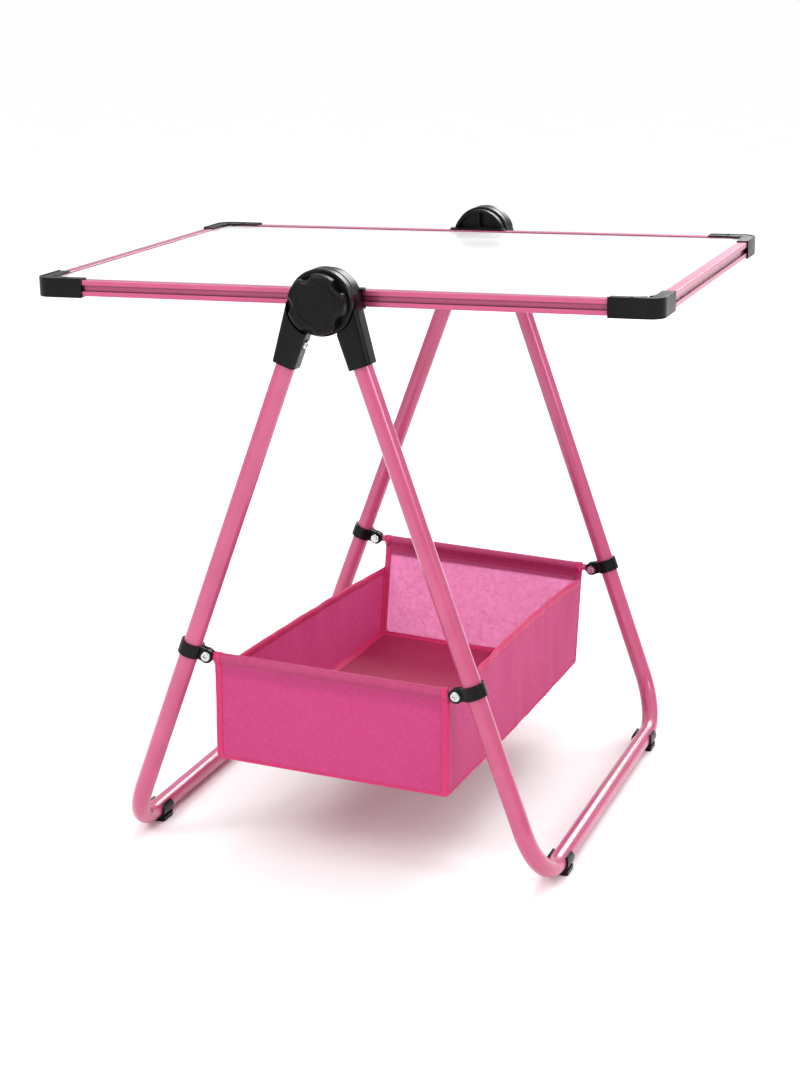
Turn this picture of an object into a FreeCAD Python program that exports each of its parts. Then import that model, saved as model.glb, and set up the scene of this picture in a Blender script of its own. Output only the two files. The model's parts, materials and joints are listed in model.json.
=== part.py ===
import FreeCAD, Part
import math
import os
from FreeCAD import Vector

# Children's double-sided drawing board that turns between two U-shaped tube frames,
# with a fabric basket hung on two bars below it. Millimetres, +Z up.
# Origin on the floor, under the middle of the board. X runs along the board,
# Y along the hub axis that the board turns on. "near" is -Y, "far" is +Y.

# ---- board ----
board_length = 700.0
board_depth = 500.0
cap_rim = 0.7
cap_leg = 57.0
cap_radius = 16.0
cap_wall = 1.5
cap_flange = 14.0
cap_flange_thickness = 1.4
cap_inner_fillet = 20.0
cap_hole_radius = 3.6
cap_hole_inward = 1.5
cap_small_hole_radius = 2.8
cap_small_hole_along = 34.0
cap_small_hole_inward = 8.0
cap_edge_round = 0.6
rail_height = 17.0
rail_width = 12.0
rail_wall = 1.4
groove_height = 6.8
groove_depth = 3.0
sheet_thickness = 0.5
rail_corner_round = 0.56
rail_end_in_cap = 1.0
cap_key_end = 5.0
cap_key_from_corner = 3.0
panel_corner = 8.0
board_tilt = 1.2

# ---- hub ----
hub_height = 634.0
hub_disc_radius = 35.0
hub_disc_thickness = 11.7
hub_disc_chamfer = 1.4
disc_gap = 0.3
edge_to_leg = 19.0
clip_length = 70.0
clip_face_length = 62.0
clip_base = 4.0
clip_lip = 7.0
clip_lip_thickness = 2.0
clip_lip_round = 4.2
clip_key_end = 2.0
clip_face_over_bolt = 0.6
board_disc_step = 2.3
rib_count = 4
rib_thickness = 2.0
rib_ring_width = 3.5
web_behind_disc = 3.0
bolt_diameter = 8.0
bolt_head_radius = 9.0
bolt_running_gap = 0.08
lip_screw_radius = 1.5
lip_screw_head = 2.6
lip_screw_cone = 1.2
lip_screw_cross = 3.2
lip_screw_cross_width = 0.7
lip_screw_cross_depth = 0.6
lip_screw_from_end = 8.0
washer_radius = 11.0
washer_thickness = 1.6
washer_hole_gap = 0.2
washer_recess_gap = 0.4
knob_radius = 31.6
knob_thickness = 15.0
knob_lobes = 5
knob_notch_radius = 9.0
knob_notch_overlap = 0.42
knob_turn = 178.0
knob_ring_inset = 10.5
knob_ring_half = 1.2
knob_ring_rise = 0.8
knob_face_thickness = 2.5
knob_seat_gap = 0.35
knob_lobe_round = 3.0
knob_front_round = 4.0
knob_back_round = 0.8
insert_wall = 3.0
bolt_end_room = 0.55

# ---- leg frames ----
leg_lean = 20.0
leg_offset = 15.0
tube_diameter = 21.0
tube_wall = 1.2
bend_radius = 63.0
pad_height = 3.0
socket_wall = 2.5
socket_round = 6.0
socket_length = 40.0
socket_below_disc = 1.2
socket_floor = 6.8
socket_fit = 0.15
tube_end_gap = 0.5
cross_screw_in_socket = 12.8
cross_screw_length = 12.0
cross_screw_floor = 1.2
tool_room = 0.5

# ---- feet ----
foot_length = 26.0
foot_overhang = 2.0
foot_wall = 2.6
foot_wrap = 38.0
foot_ear_drop = 2.0

# ---- basket bars and clamps ----
clamp_width = 15.0
clamp_wall = 2.8
clamp_ear_reach = 7.0
clamp_ear_edge = 2.4
clamp_heights = {"near_left": 236.2, "near_right": 219.7, "far_left": 225.0, "far_right": 207.5}
bar_diameter = 8.0
bar_flat_thickness = 2.4
bar_play = 0.4
bar_neck_past_ear = 0.6
screw_diameter = 6.0
screw_clearance = 0.3
thread_gap = 0.05
screw_head_rim = 2.6
screw_head_height = 3.0
screw_head_round = 1.7
screw_cross = 6.0
screw_cross_width = 1.3
screw_cross_depth = 1.6
screw_end = 1.0
nut_rim = 2.75
nut_height = 4.8
part_gap = 0.1

# ---- basket ----
sleeve_end_gap = 1.4
basket_depth = 118.0
far_panel_extra_depth = 6.0
far_panel_lean = 22.0
fabric = 1.5
base_edge_gap = 0.4
base_strips = 6
sleeve_fit = 0.3
sleeve_fabric = 2.7
side_edges = {"left": (17.0, 36.0, 5.0), "right": (8.5, 12.0, 8.0)}

# ---- worked out from the sizes above ----
tube_radius = tube_diameter / 2
bolt_radius = bolt_diameter / 2
screw_radius = screw_diameter / 2
bar_radius = bar_diameter / 2
screw_head_radius = screw_radius + screw_head_rim
nut_radius = screw_radius + nut_rim
cap_height = rail_height + 2 * (part_gap + cap_flange_thickness + cap_rim)
board_disc_radius = hub_disc_radius - board_disc_step
knob_ring_radius = knob_radius - knob_ring_inset
insert_radius = bolt_radius + insert_wall
socket_width = tube_diameter + 2 * socket_wall
socket_start = hub_disc_radius + socket_below_disc
socket_end = socket_start + socket_length
tube_start = socket_start + socket_floor
cross_screw_at = socket_start + cross_screw_in_socket
foot_width = tube_diameter + 2 * foot_overhang
clamp_reach = tube_radius + part_gap + clamp_wall + clamp_ear_reach
clamp_ear_radius = nut_radius + clamp_ear_edge
clamp_slot = bar_flat_thickness + 2 * bar_play
bar_neck = clamp_ear_radius + bar_neck_past_ear
sleeve_radius = bar_radius + sleeve_fit + sleeve_fabric
lean = math.radians(leg_lean)
foot_axis_height = tube_radius + pad_height
inner_plane = board_depth / 2 + edge_to_leg
outer_plane = inner_plane + hub_disc_thickness + disc_gap
rail_face = board_depth / 2 - cap_wall
rail_face_x = board_length / 2 - cap_wall
stack_face = outer_plane + hub_disc_thickness / 2
leg_length = (hub_height - foot_axis_height + leg_offset * math.sin(lean)) / math.cos(lean)
run_x = leg_offset * math.cos(lean) + leg_length * math.sin(lean)

X = Vector(1, 0, 0)
Y = Vector(0, 1, 0)
Z = Vector(0, 0, 1)
ORIGIN = Vector(0, 0, 0)

os.makedirs("parts", exist_ok=True)


def save(name, shape):
    """Writes one node and prints what it holds."""
    shape.exportStep("parts/" + name + ".step")
    print(name, len(shape.Solids), "solid(s)", round(shape.Volume, 1), "mm3", shape.isValid())


def box(x0, x1, y0, y1, z0, z1):
    return Part.makeBox(x1 - x0, y1 - y0, z1 - z0, Vector(x0, y0, z0))


def rod(start, direction, radius, length):
    return Part.makeCylinder(radius, length, start, direction)


def turned(shape, degrees, axis, centre=ORIGIN):
    copy = shape.copy()
    copy.rotate(centre, axis, degrees)
    return copy


def moved(shape, vector):
    copy = shape.copy()
    copy.translate(vector)
    return copy


def prism(points, direction):
    """Solid from a closed outline of corner points, pushed along a direction."""
    outline = Part.makePolygon(list(points) + [points[0]])
    return Part.Face(outline).extrude(direction)


def on_board(shape):
    """Puts a piece made flat round the hub axis where the tilted board holds it."""
    return moved(turned(shape, -board_tilt, Y), Vector(0, 0, hub_height))


def on_leg(shape, side):
    """Leans a piece made along a vertical leg (side +1 right, -1 left) to its real place."""
    return moved(turned(shape, -side * leg_lean, Y), Vector(0, 0, hub_height))


def near_copy(shape):
    """A far piece turned half round Z, which is how the near end is built."""
    return turned(shape, 180, Z)


# ---- board: core, sheets, rails and corner caps ----
def rounded_slab(half_x, half_y, z0, z1, radius):
    slab = box(-half_x, half_x, -half_y, half_y, z0, z1)
    upright = [e for e in slab.Edges if abs(e.tangentAt(e.FirstParameter).z) > 0.99]
    return slab.makeFillet(radius, upright)


panel_half = rail_height / 2 - rail_wall - part_gap
web_back = groove_depth + rail_wall
panel_x = rail_face_x - web_back - part_gap
panel_y = rail_face - web_back - part_gap
core_half = panel_half - sheet_thickness

save("panel_core", on_board(rounded_slab(panel_x, panel_y, -core_half, core_half, panel_corner)))
save("face_sheet_top", on_board(rounded_slab(panel_x, panel_y, core_half, panel_half, panel_corner)))
save("face_sheet_bottom", on_board(rounded_slab(panel_x, panel_y, -panel_half, -core_half, panel_corner)))


def rail(length):
    """Extruded channel along X: outer face on y = 0, lips reaching back to hold the panel."""
    half = rail_height / 2
    lip = half - rail_wall
    slot = groove_height / 2
    web = slot + rail_wall
    upper = [
        (-rail_width, half), (0, half), (0, slot), (-groove_depth, slot),
    ]
    lower = [(y, -z) for y, z in reversed(upper)]
    back_low = [(-rail_width, -lip), (-rail_wall, -lip), (-rail_wall, -web), (-web_back, -web)]
    back_high = [(y, -z) for y, z in reversed(back_low)]
    points = [Vector(-length / 2, y, z) for y, z in upper + lower + back_low + back_high]
    body = prism(points, Vector(length, 0, 0))
    corners = [e for e in body.Edges if abs(abs(e.CenterOfMass.z) - half) < 0.01
               and abs(e.tangentAt(e.FirstParameter).x) > 0.99]
    return body.makeFillet(rail_corner_round, corners)


rail_end = cap_radius + rail_end_in_cap
far_rail = moved(rail(board_length - 2 * rail_end), Vector(0, rail_face, 0))
right_rail = moved(turned(rail(board_depth - 2 * rail_end), -90, Z), Vector(rail_face_x, 0, 0))
save("rail_right", on_board(right_rail))
save("rail_left", on_board(near_copy(right_rail)))


def corner_cap():
    """Moulded L-shaped cap for the far right corner."""
    half = cap_height / 2
    cx = board_length / 2
    cy = board_depth / 2
    outer = box(cx - cap_leg, cx, cy - cap_leg, cy, -half, half)
    corner = [e for e in outer.Edges
              if abs(e.CenterOfMass.x - cx) < 0.01 and abs(e.CenterOfMass.y - cy) < 0.01]
    outer = outer.makeFillet(cap_radius, corner)
    inside = box(0, cx - cap_wall, 0, cy - cap_wall, -half - 1, half + 1)
    corner = [e for e in inside.Edges
              if abs(e.CenterOfMass.x - cx + cap_wall) < 0.01
              and abs(e.CenterOfMass.y - cy + cap_wall) < 0.01]
    inside = inside.makeFillet(cap_radius - cap_wall, corner)
    wall = outer.cut(inside)
    cut = box(0, cx - cap_flange, 0, cy - cap_flange, -half - 1, half + 1)
    corner = [e for e in cut.Edges
              if abs(e.CenterOfMass.x - cx + cap_flange) < 0.01
              and abs(e.CenterOfMass.y - cy + cap_flange) < 0.01]
    cut = cut.makeFillet(cap_inner_fillet, corner)
    seat = rail_height / 2 + part_gap
    layer = outer.cut(cut)
    flanges = layer.common(box(0, cx, 0, cy, seat, seat + cap_flange_thickness))
    flanges = flanges.fuse(layer.common(box(0, cx, 0, cy, -seat - cap_flange_thickness, -seat)))
    key = groove_height / 2 - part_gap
    key_depth = groove_depth - part_gap
    start = cap_leg - cap_key_end
    stop = cap_radius + cap_key_from_corner
    keys = box(cx - start, cx - stop, cy - cap_wall - key_depth, cy - cap_wall, -key, key)
    keys = keys.fuse(box(cx - cap_wall - key_depth, cx - cap_wall, cy - start, cy - stop, -key, key))
    body = wall.fuse(flanges).fuse(keys)
    diagonal = cap_radius + cap_hole_inward
    large_at = Vector(cx - diagonal, cy - diagonal, -half - 1)
    small_at = Vector(cx - cap_small_hole_along, cy - cap_small_hole_inward, -half - 1)
    body = body.cut(rod(large_at, Z, cap_hole_radius, cap_height + 2))
    body = body.cut(rod(small_at, Z, cap_small_hole_radius, cap_height + 2)).removeSplitter()
    rim = [e for e in body.Edges
           if abs(abs(e.CenterOfMass.z) - half) < 0.01
           and (e.CenterOfMass.x > cx - cap_wall / 2 or e.CenterOfMass.y > cy - cap_wall / 2
                or abs(e.Length - cap_radius * math.pi / 2) < 0.5)]
    return body.makeFillet(cap_edge_round, rim)


cap = corner_cap()
save("corner_cap_far_right", on_board(cap))
save("corner_cap_near_left", on_board(near_copy(cap)))
mirrored_cap = cap.mirror(ORIGIN, X)
save("corner_cap_far_left", on_board(mirrored_cap))
save("corner_cap_near_right", on_board(near_copy(mirrored_cap)))


# ---- hub pieces that ride on the board ----
clip_outer = rail_face + clip_base
disc_outer = inner_plane - hub_disc_thickness / 2 - disc_gap
clip_half_height = rail_height / 2 + part_gap + clip_lip_thickness
head_thickness = clip_base - clip_face_over_bolt
washer_seat = stack_face + part_gap
knob_back = stack_face + knob_seat_gap
knob_front = knob_back + knob_thickness


def board_bracket():
    """Clip that hooks over the far rail, with the ribbed disc that meets the leg discs."""
    half = clip_length / 2
    seat = rail_height / 2 + part_gap
    body = box(-half, half, rail_face - clip_lip, clip_outer, -clip_half_height, clip_half_height)
    body = body.cut(box(-half - 1, half + 1, rail_face - clip_lip - 1, rail_face + part_gap, -seat, seat))
    upright = [e for e in body.Edges
               if abs(abs(e.CenterOfMass.x) - half) < 0.01
               and abs(e.CenterOfMass.y - rail_face + clip_lip) < 0.01
               and abs(e.tangentAt(e.FirstParameter).z) > 0.9]
    body = body.makeFillet(clip_lip_round, upright)
    face_half = clip_face_length / 2
    for x0, x1 in ((-half - 1, -face_half), (face_half, half + 1)):
        body = body.cut(box(x0, x1, rail_face + part_gap, clip_outer + 1, -seat, seat))
    key = groove_height / 2 - part_gap
    key_half = face_half - clip_key_end
    key_bar = box(-key_half, key_half, rail_face - groove_depth + part_gap, rail_face + part_gap, -key, key)
    disc = rod(Vector(0, clip_outer - 0.5, 0), Y, board_disc_radius, disc_outer - clip_outer + 0.5)
    rim = [e for e in disc.Edges if abs(e.CenterOfMass.y - disc_outer) < 0.01]
    disc = disc.makeChamfer(hub_disc_chamfer, rim)
    pocket_depth = disc_outer - clip_outer - web_behind_disc
    ring_out = rod(Vector(0, clip_outer - 1, 0), Y, board_disc_radius - rib_ring_width, pocket_depth + 1)
    ring_in = rod(Vector(0, clip_outer - 1, 0), Y, bolt_head_radius + rib_ring_width, pocket_depth + 1)
    pockets = ring_out.cut(ring_in)
    for index in range(rib_count):
        rib = box(-rib_thickness / 2, rib_thickness / 2, clip_outer - 2, disc_outer, 0, board_disc_radius)
        pockets = pockets.cut(turned(rib, index * 360.0 / rib_count, Y))
    behind_clip = box(-half, half, clip_outer - 2, disc_outer, -clip_half_height, clip_half_height)
    disc = disc.cut(pockets.cut(behind_clip))
    body = body.fuse(disc).fuse(key_bar)
    head_room = rod(Vector(0, rail_face - groove_depth, 0), Y, bolt_head_radius + part_gap,
                    groove_depth + head_thickness + part_gap)
    shank_hole = rod(Vector(0, rail_face, 0), Y, bolt_radius + bolt_running_gap, disc_outer)
    return body.cut(head_room).cut(shank_hole).removeSplitter()


def lip_screw(at):
    """Small countersunk screw that fixes the clip's lower lip to the rail, with no recess yet."""
    length = clip_lip_thickness + rail_wall + part_gap
    cone = Part.makeCone(lip_screw_head, lip_screw_radius, lip_screw_cone, at, Z)
    return cone.fuse(rod(at, Z, lip_screw_radius, length))


def with_cross_recess(screw, at):
    long = lip_screw_cross / 2
    wide = lip_screw_cross_width / 2
    top = at.z + lip_screw_cross_depth
    slot = box(at.x - long, at.x + long, at.y - wide, at.y + wide, at.z - 1, top)
    slot = slot.fuse(box(at.x - wide, at.x + wide, at.y - long, at.y + long, at.z - 1, top))
    return screw.cut(slot)


def pivot_bolt():
    """Carriage bolt: flat head behind the clip, square neck in the disc, plain shank."""
    start = rail_face + part_gap
    head = rod(Vector(0, start, 0), Y, bolt_head_radius, head_thickness - part_gap)
    length = knob_front - knob_face_thickness - bolt_end_room - start
    shank = rod(Vector(0, start, 0), Y, bolt_radius, length)
    tip = [e for e in shank.Edges if abs(e.CenterOfMass.y - start - length) < 0.01]
    shank = shank.makeChamfer(0.8, tip)
    return head.fuse(shank).removeSplitter()


def washer():
    ring = rod(Vector(0, washer_seat, 0), Y, washer_radius, washer_thickness)
    hole = rod(Vector(0, washer_seat - 1, 0), Y, bolt_radius + washer_hole_gap, washer_thickness + 2)
    return ring.cut(hole)


def knob():
    """Five-lobed hand knob with a raised ring on its face and a washer recess behind."""
    body = rod(Vector(0, knob_back, 0), Y, knob_radius, knob_thickness)
    notch_centre = knob_radius + knob_notch_radius * knob_notch_overlap
    for index in range(knob_lobes):
        angle = math.radians(knob_turn + (index + 0.5) * 360.0 / knob_lobes)
        at = Vector(notch_centre * math.cos(angle), knob_back - 1, notch_centre * math.sin(angle))
        body = body.cut(rod(at, Y, knob_notch_radius, knob_thickness + 2))
    upright = [e for e in body.Edges if e.Curve.TypeId == "Part::GeomLine" and e.Length > knob_thickness - 1]
    body = body.makeFillet(knob_lobe_round, upright)
    front = [e for e in body.Edges if abs(e.CenterOfMass.y - knob_front) < 0.01]
    body = body.makeFillet(knob_front_round, front)
    back = [e for e in body.Edges if abs(e.CenterOfMass.y - knob_back) < 0.01]
    body = body.makeFillet(knob_back_round, back)
    ring = rod(Vector(0, knob_front - 1, 0), Y, knob_ring_radius + knob_ring_half, knob_ring_rise + 1)
    middle = rod(Vector(0, knob_front - 2, 0), Y, knob_ring_radius - knob_ring_half, knob_ring_rise + 3)
    ring = ring.cut(middle)
    crest = [e for e in ring.Edges if abs(e.CenterOfMass.y - knob_front - knob_ring_rise) < 0.01]
    ring = ring.makeFillet(0.6, crest)
    body = body.fuse(ring)
    recess = rod(Vector(0, knob_back - 1, 0), Y, washer_radius + washer_recess_gap,
                 washer_seat + washer_thickness + part_gap - knob_back + 1)
    pocket = rod(Vector(0, knob_back, 0), Y, insert_radius, knob_thickness - knob_face_thickness)
    return body.cut(recess).cut(pocket).removeSplitter()


def knob_insert():
    start = washer_seat + washer_thickness + part_gap
    body = rod(Vector(0, start, 0), Y, insert_radius, knob_front - knob_face_thickness - start)
    return body.cut(rod(Vector(0, start - 1, 0), Y, bolt_radius + bolt_running_gap, knob_thickness + 2))


far_bracket = board_bracket()
lip_screws = []
for side in (-1, 1):
    at = Vector(side * (clip_length / 2 - lip_screw_from_end), rail_face - clip_lip / 2, -clip_half_height)
    blank = lip_screw(at)
    far_bracket = far_bracket.cut(blank)
    far_rail = far_rail.cut(blank)
    lip_screws.append(with_cross_recess(blank, at))
save("rail_far", on_board(far_rail))
save("rail_near", on_board(near_copy(far_rail)))
save("board_bracket_far", on_board(far_bracket))
save("board_bracket_near", on_board(near_copy(far_bracket)))
save("bracket_screws", on_board(Part.makeCompound(lip_screws + [near_copy(s) for s in lip_screws])))
far_pieces = {
    "pivot_bolt": pivot_bolt(),
    "knob_washer": washer(),
    "hand_knob": knob(),
    "knob_insert": knob_insert(),
}
for name, shape in far_pieces.items():
    save(name + "_far", on_board(shape))
    save(name + "_near", on_board(near_copy(shape)))


# ---- leg frames ----
def leg_planes(side):
    """Near and far planes of a frame's legs: each frame is the outer one at one end."""
    if side > 0:
        return -inner_plane, outer_plane
    return -outer_plane, inner_plane


def u_tube(side, radius, extra):
    """Solid of one bend path: down the near leg, along the floor, up the far leg."""
    near, far = leg_planes(side)
    x = side * leg_offset
    top = -tube_start + extra
    low = -leg_length
    k = bend_radius * (1 - math.sqrt(0.5))
    path = Part.Wire([
        Part.LineSegment(Vector(x, near, top), Vector(x, near, low + bend_radius)).toShape(),
        Part.Arc(Vector(x, near, low + bend_radius), Vector(x, near + k, low + k),
                 Vector(x, near + bend_radius, low)).toShape(),
        Part.LineSegment(Vector(x, near + bend_radius, low), Vector(x, far - bend_radius, low)).toShape(),
        Part.Arc(Vector(x, far - bend_radius, low), Vector(x, far - k, low + k),
                 Vector(x, far, low + bend_radius)).toShape(),
        Part.LineSegment(Vector(x, far, low + bend_radius), Vector(x, far, top)).toShape(),
    ])
    ring = Part.Wire([Part.makeCircle(radius, Vector(x, near, top), Z)])
    return path.makePipeShell([ring], True, False)


def u_frame(side):
    body = u_tube(side, tube_radius, 0).cut(u_tube(side, tube_radius - tube_wall, 0.5))
    for plane in leg_planes(side):
        at = Vector(side * leg_offset, plane, -cross_screw_at)
        body = body.cut(rod(at, X * -side, screw_radius + thread_gap, tube_diameter))
    return body


for name, side in (("left", -1), ("right", 1)):
    save("u_frame_" + name, on_leg(u_frame(side), side))


def cross_screw_seat(side, plane):
    """Middle of the recessed floor that a leg screw's head sits on, on the leg's inner side."""
    return Vector(side * (leg_offset - tube_radius - socket_fit - cross_screw_floor), plane, -cross_screw_at)


def leg_bracket(side, plane):
    """Moulded bracket: hub disc and the square socket that takes the top of one leg.

    The socket is deeper than the disc. It stands clear of the discs and the knob beside it.
    """
    half = socket_width / 2
    centre = side * leg_offset
    disc = rod(Vector(0, plane - hub_disc_thickness / 2, 0), Y, hub_disc_radius, hub_disc_thickness)
    disc = disc.makeChamfer(hub_disc_chamfer, [e for e in disc.Edges if e.Closed])
    foot_of_edge = Vector(leg_offset + half, 0, -socket_end)
    turn = math.acos(hub_disc_radius / foot_of_edge.Length) - math.atan2(socket_end, foot_of_edge.x)
    top_of_edge = Vector(hub_disc_radius * math.cos(turn), 0, hub_disc_radius * math.sin(turn))
    outline = [Vector(side * x, plane, z) for x, z in (
        (leg_offset - half, -socket_end), (leg_offset + half, -socket_end),
        (top_of_edge.x, top_of_edge.z), (leg_offset - half, 0))]
    block = moved(prism(outline, Y * socket_width), Y * -half)
    upright = [e for e in block.Edges if abs(e.tangentAt(e.FirstParameter).z) > 0.9
               and abs(e.tangentAt(e.FirstParameter).y) < 0.01]
    block = block.makeFillet(socket_round, upright)
    neck = block.common(box(-board_depth, board_depth, plane - hub_disc_thickness / 2,
                            plane + hub_disc_thickness / 2, -socket_end, hub_disc_radius))
    swing = rod(Vector(0, plane - socket_width, 0), Y, socket_start, 2 * socket_width)
    body = disc.fuse(neck).fuse(block.cut(swing))
    bore_length = socket_end + 1 - tube_start + tube_end_gap
    body = body.cut(rod(Vector(centre, plane, -socket_end - 1), Z, tube_radius + socket_fit, bore_length))
    bolt_at = Vector(0, plane - board_depth, 0)
    body = body.cut(rod(bolt_at, Y, bolt_radius + bolt_running_gap, 2 * board_depth))
    inward = X * -side
    screw_at = Vector(centre, plane, -cross_screw_at)
    screw_hole = rod(screw_at, inward, screw_radius + screw_clearance / 2, half + 1)
    head_room = rod(cross_screw_seat(side, plane), inward, screw_head_radius + tool_room, half)
    return body.cut(screw_hole).cut(head_room).removeSplitter()


def pan_screw(start, direction, length):
    """Pan-head cross-recess screw; start is the face that its head sits on."""
    head = rod(start - direction * screw_head_height, direction, screw_head_radius, screw_head_height)
    top = start - direction * screw_head_height
    crown = [e for e in head.Edges if (e.CenterOfMass - top).Length < 0.01]
    head = head.makeFillet(screw_head_round, crown)
    shank = rod(start, direction, screw_radius, length)
    body = head.fuse(shank)
    across = direction.cross(Z)
    for first, second in ((across, Z), (Z, across)):
        corner = top - first * (screw_cross / 2) - second * (screw_cross_width / 2) - direction
        long = first * screw_cross
        wide = second * screw_cross_width
        slot = prism([corner, corner + long, corner + long + wide, corner + wide],
                     direction * (screw_cross_depth + 1))
        body = body.cut(slot)
    return body.removeSplitter()


def hex_nut(start, direction):
    """Nut whose near face is on start; the hexagon's corners lie nut_radius out."""
    across = direction.cross(Z)
    corners = [start + across * (nut_radius * math.cos(math.radians(60 * k + 30)))
               + Z * (nut_radius * math.sin(math.radians(60 * k + 30))) for k in range(6)]
    body = prism(corners, direction * nut_height)
    return body.cut(rod(start - direction, direction, screw_radius + thread_gap, nut_height + 2))


leg_screws = []
for frame_name, side in (("left", -1), ("right", 1)):
    for end_name, plane in zip(("near", "far"), leg_planes(side)):
        save("leg_bracket_" + end_name + "_" + frame_name, on_leg(leg_bracket(side, plane), side))
        screw = pan_screw(cross_screw_seat(side, plane), X * side, cross_screw_length)
        leg_screws.append(on_leg(screw, side))
save("leg_screws", Part.makeCompound(leg_screws))


# ---- feet ----
def foot(side, y_centre):
    """Clip that wraps the floor run from below, on a flat pad."""
    y0 = y_centre - foot_length / 2
    outer = tube_radius + part_gap + foot_wall
    axis = Vector(side * run_x, y0, foot_axis_height)
    wrap = rod(axis, Y, outer, foot_length)
    pad = box(axis.x - foot_width / 2, axis.x + foot_width / 2, y0, y0 + foot_length, 0, foot_wall * 2)
    pad = pad.makeFillet(3.0, [e for e in pad.Edges if abs(e.tangentAt(e.FirstParameter).z) > 0.99])
    under = box(axis.x - foot_width, axis.x + foot_width, y0 - 1, y0 + foot_length + 1, -foot_wall, 0)
    body = wrap.fuse(pad).cut(under)
    body = body.cut(rod(axis - Y, Y, tube_radius + part_gap, foot_length + 2))
    open_at = math.radians(foot_wrap)
    reach = outer * 3
    mouth = prism([
        axis - Y,
        axis - Y + Vector(reach * math.cos(open_at), 0, reach * math.sin(open_at)),
        axis - Y + Vector(0, 0, reach * 2),
        axis - Y + Vector(-reach * math.cos(open_at), 0, reach * math.sin(open_at)),
    ], Y * (foot_length + 2))
    body = body.cut(mouth)
    ear_z = foot_axis_height - foot_ear_drop
    ear = rod(Vector(axis.x - board_depth, y_centre, ear_z), X, foot_length / 2, 2 * board_depth)
    low = box(axis.x - board_depth, axis.x + board_depth, y0 - 1, y0 + foot_length + 1, -1, ear_z)
    return body.common(ear.fuse(low)).removeSplitter()


for frame_name, side in (("left", -1), ("right", 1)):
    near, far = leg_planes(side)
    inset = bend_radius + foot_length / 2
    save("foot_near_" + frame_name, foot(side, near + inset))
    save("foot_far_" + frame_name, foot(side, far - inset))


# ---- clamps, bars and their fasteners ----
screw_offset = leg_offset - clamp_reach
clamp_screws = []
clamp_nuts = []
clamp_points = {}


def clamp(side, plane, down):
    """Strap round the leg whose two ears hold the flat end of a bar between them."""
    centre = side * leg_offset
    outer = tube_radius + part_gap + clamp_wall
    z0 = -down - clamp_width / 2
    strap = rod(Vector(centre, plane, z0), Z, outer, clamp_width)
    ear_half = clamp_slot / 2 + clamp_wall
    ear_x = side * screw_offset
    ears = box(min(centre, ear_x), max(centre, ear_x), plane - ear_half, plane + ear_half,
               z0, z0 + clamp_width)
    tip = rod(Vector(ear_x, plane - ear_half, -down), Y, clamp_ear_radius, 2 * ear_half)
    body = strap.fuse(ears).fuse(tip)
    body = body.cut(rod(Vector(centre, plane, z0 - 1), Z, tube_radius + part_gap, clamp_width + 2))
    far_x = ear_x - side * (clamp_ear_radius + 2)
    low = -down - clamp_ear_radius - 1
    high = -down + clamp_ear_radius + 1
    slot_half = clamp_slot / 2
    body = body.cut(box(min(centre, far_x), max(centre, far_x), plane - slot_half, plane + slot_half,
                        low, high))
    hole_radius = screw_radius + screw_clearance / 2
    hole = rod(Vector(ear_x, plane - 2 * ear_half, -down), Y, hole_radius, 4 * ear_half)
    return body.cut(hole).removeSplitter()


for frame_name, side in (("left", -1), ("right", 1)):
    for end_name, plane in zip(("near", "far"), leg_planes(side)):
        key = end_name + "_" + frame_name
        height = clamp_heights[key]
        down = (hub_height - height + screw_offset * math.sin(lean)) / math.cos(lean)
        save("clamp_" + key, on_leg(clamp(side, plane, down), side))
        x = side * (screw_offset * math.cos(lean) + down * math.sin(lean))
        clamp_points[key] = Vector(x, plane, height)
        out = Y if plane > 0 else -Y
        grip = clamp_slot / 2 + clamp_wall
        at = clamp_points[key]
        length = 2 * grip + nut_height + screw_end
        clamp_screws.append(pan_screw(at + out * grip, -out, length))
        clamp_nuts.append(hex_nut(at - out * grip, -out))
save("clamp_screws", Part.makeCompound(clamp_screws))
save("clamp_nuts", Part.makeCompound(clamp_nuts))


def bar(left, right):
    """Round bar with a flattened neck and a drilled eye at each end, from screw to screw."""
    run = right - left
    half = run.Length / 2
    round_half = half - bar_neck
    eye = clamp_ear_radius - 1
    body = rod(Vector(-round_half, 0, 0), X, bar_radius, 2 * round_half)
    flat = bar_flat_thickness / 2
    body = body.fuse(box(-half, half, -flat, flat, -bar_radius, bar_radius))
    for side in (-1, 1):
        body = body.fuse(rod(Vector(side * half, -flat, 0), Y, eye, bar_flat_thickness))
    for side in (-1, 1):
        body = body.cut(rod(Vector(side * half, -bar_diameter, 0), Y, screw_radius + screw_clearance,
                            2 * bar_diameter))
    body = body.removeSplitter()
    level = math.hypot(run.x, run.y)
    body.rotate(ORIGIN, Y, -math.degrees(math.atan2(run.z, level)))
    body.rotate(ORIGIN, Z, math.degrees(math.atan2(run.y, run.x)))
    body.translate((left + right) / 2)
    return body


for end_name in ("near", "far"):
    save("basket_bar_" + end_name, bar(clamp_points[end_name + "_left"], clamp_points[end_name + "_right"]))


# ---- basket ----
ear_room = clamp_ear_radius + sleeve_end_gap
basket_x = {
    -1: max(clamp_points["near_left"].x, clamp_points["far_left"].x) + ear_room,
    1: min(clamp_points["near_right"].x, clamp_points["far_right"].x) - ear_room,
}


def on_bar(end_name, x):
    """Point of a bar's axis at a given x."""
    left = clamp_points[end_name + "_left"]
    right = clamp_points[end_name + "_right"]
    return left + (right - left) * ((x - left.x) / (right.x - left.x))


def skin(sections):
    """Flat or slightly twisted panel through a row of four-cornered sections."""
    wires = [Part.makePolygon(list(s) + [s[0]]) for s in sections]
    return Part.makeLoft(wires, True, True)


drop = {
    "near": Vector(0, 0, -basket_depth),
    "far": Vector(0, -far_panel_lean, -basket_depth - far_panel_extra_depth),
}


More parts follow.
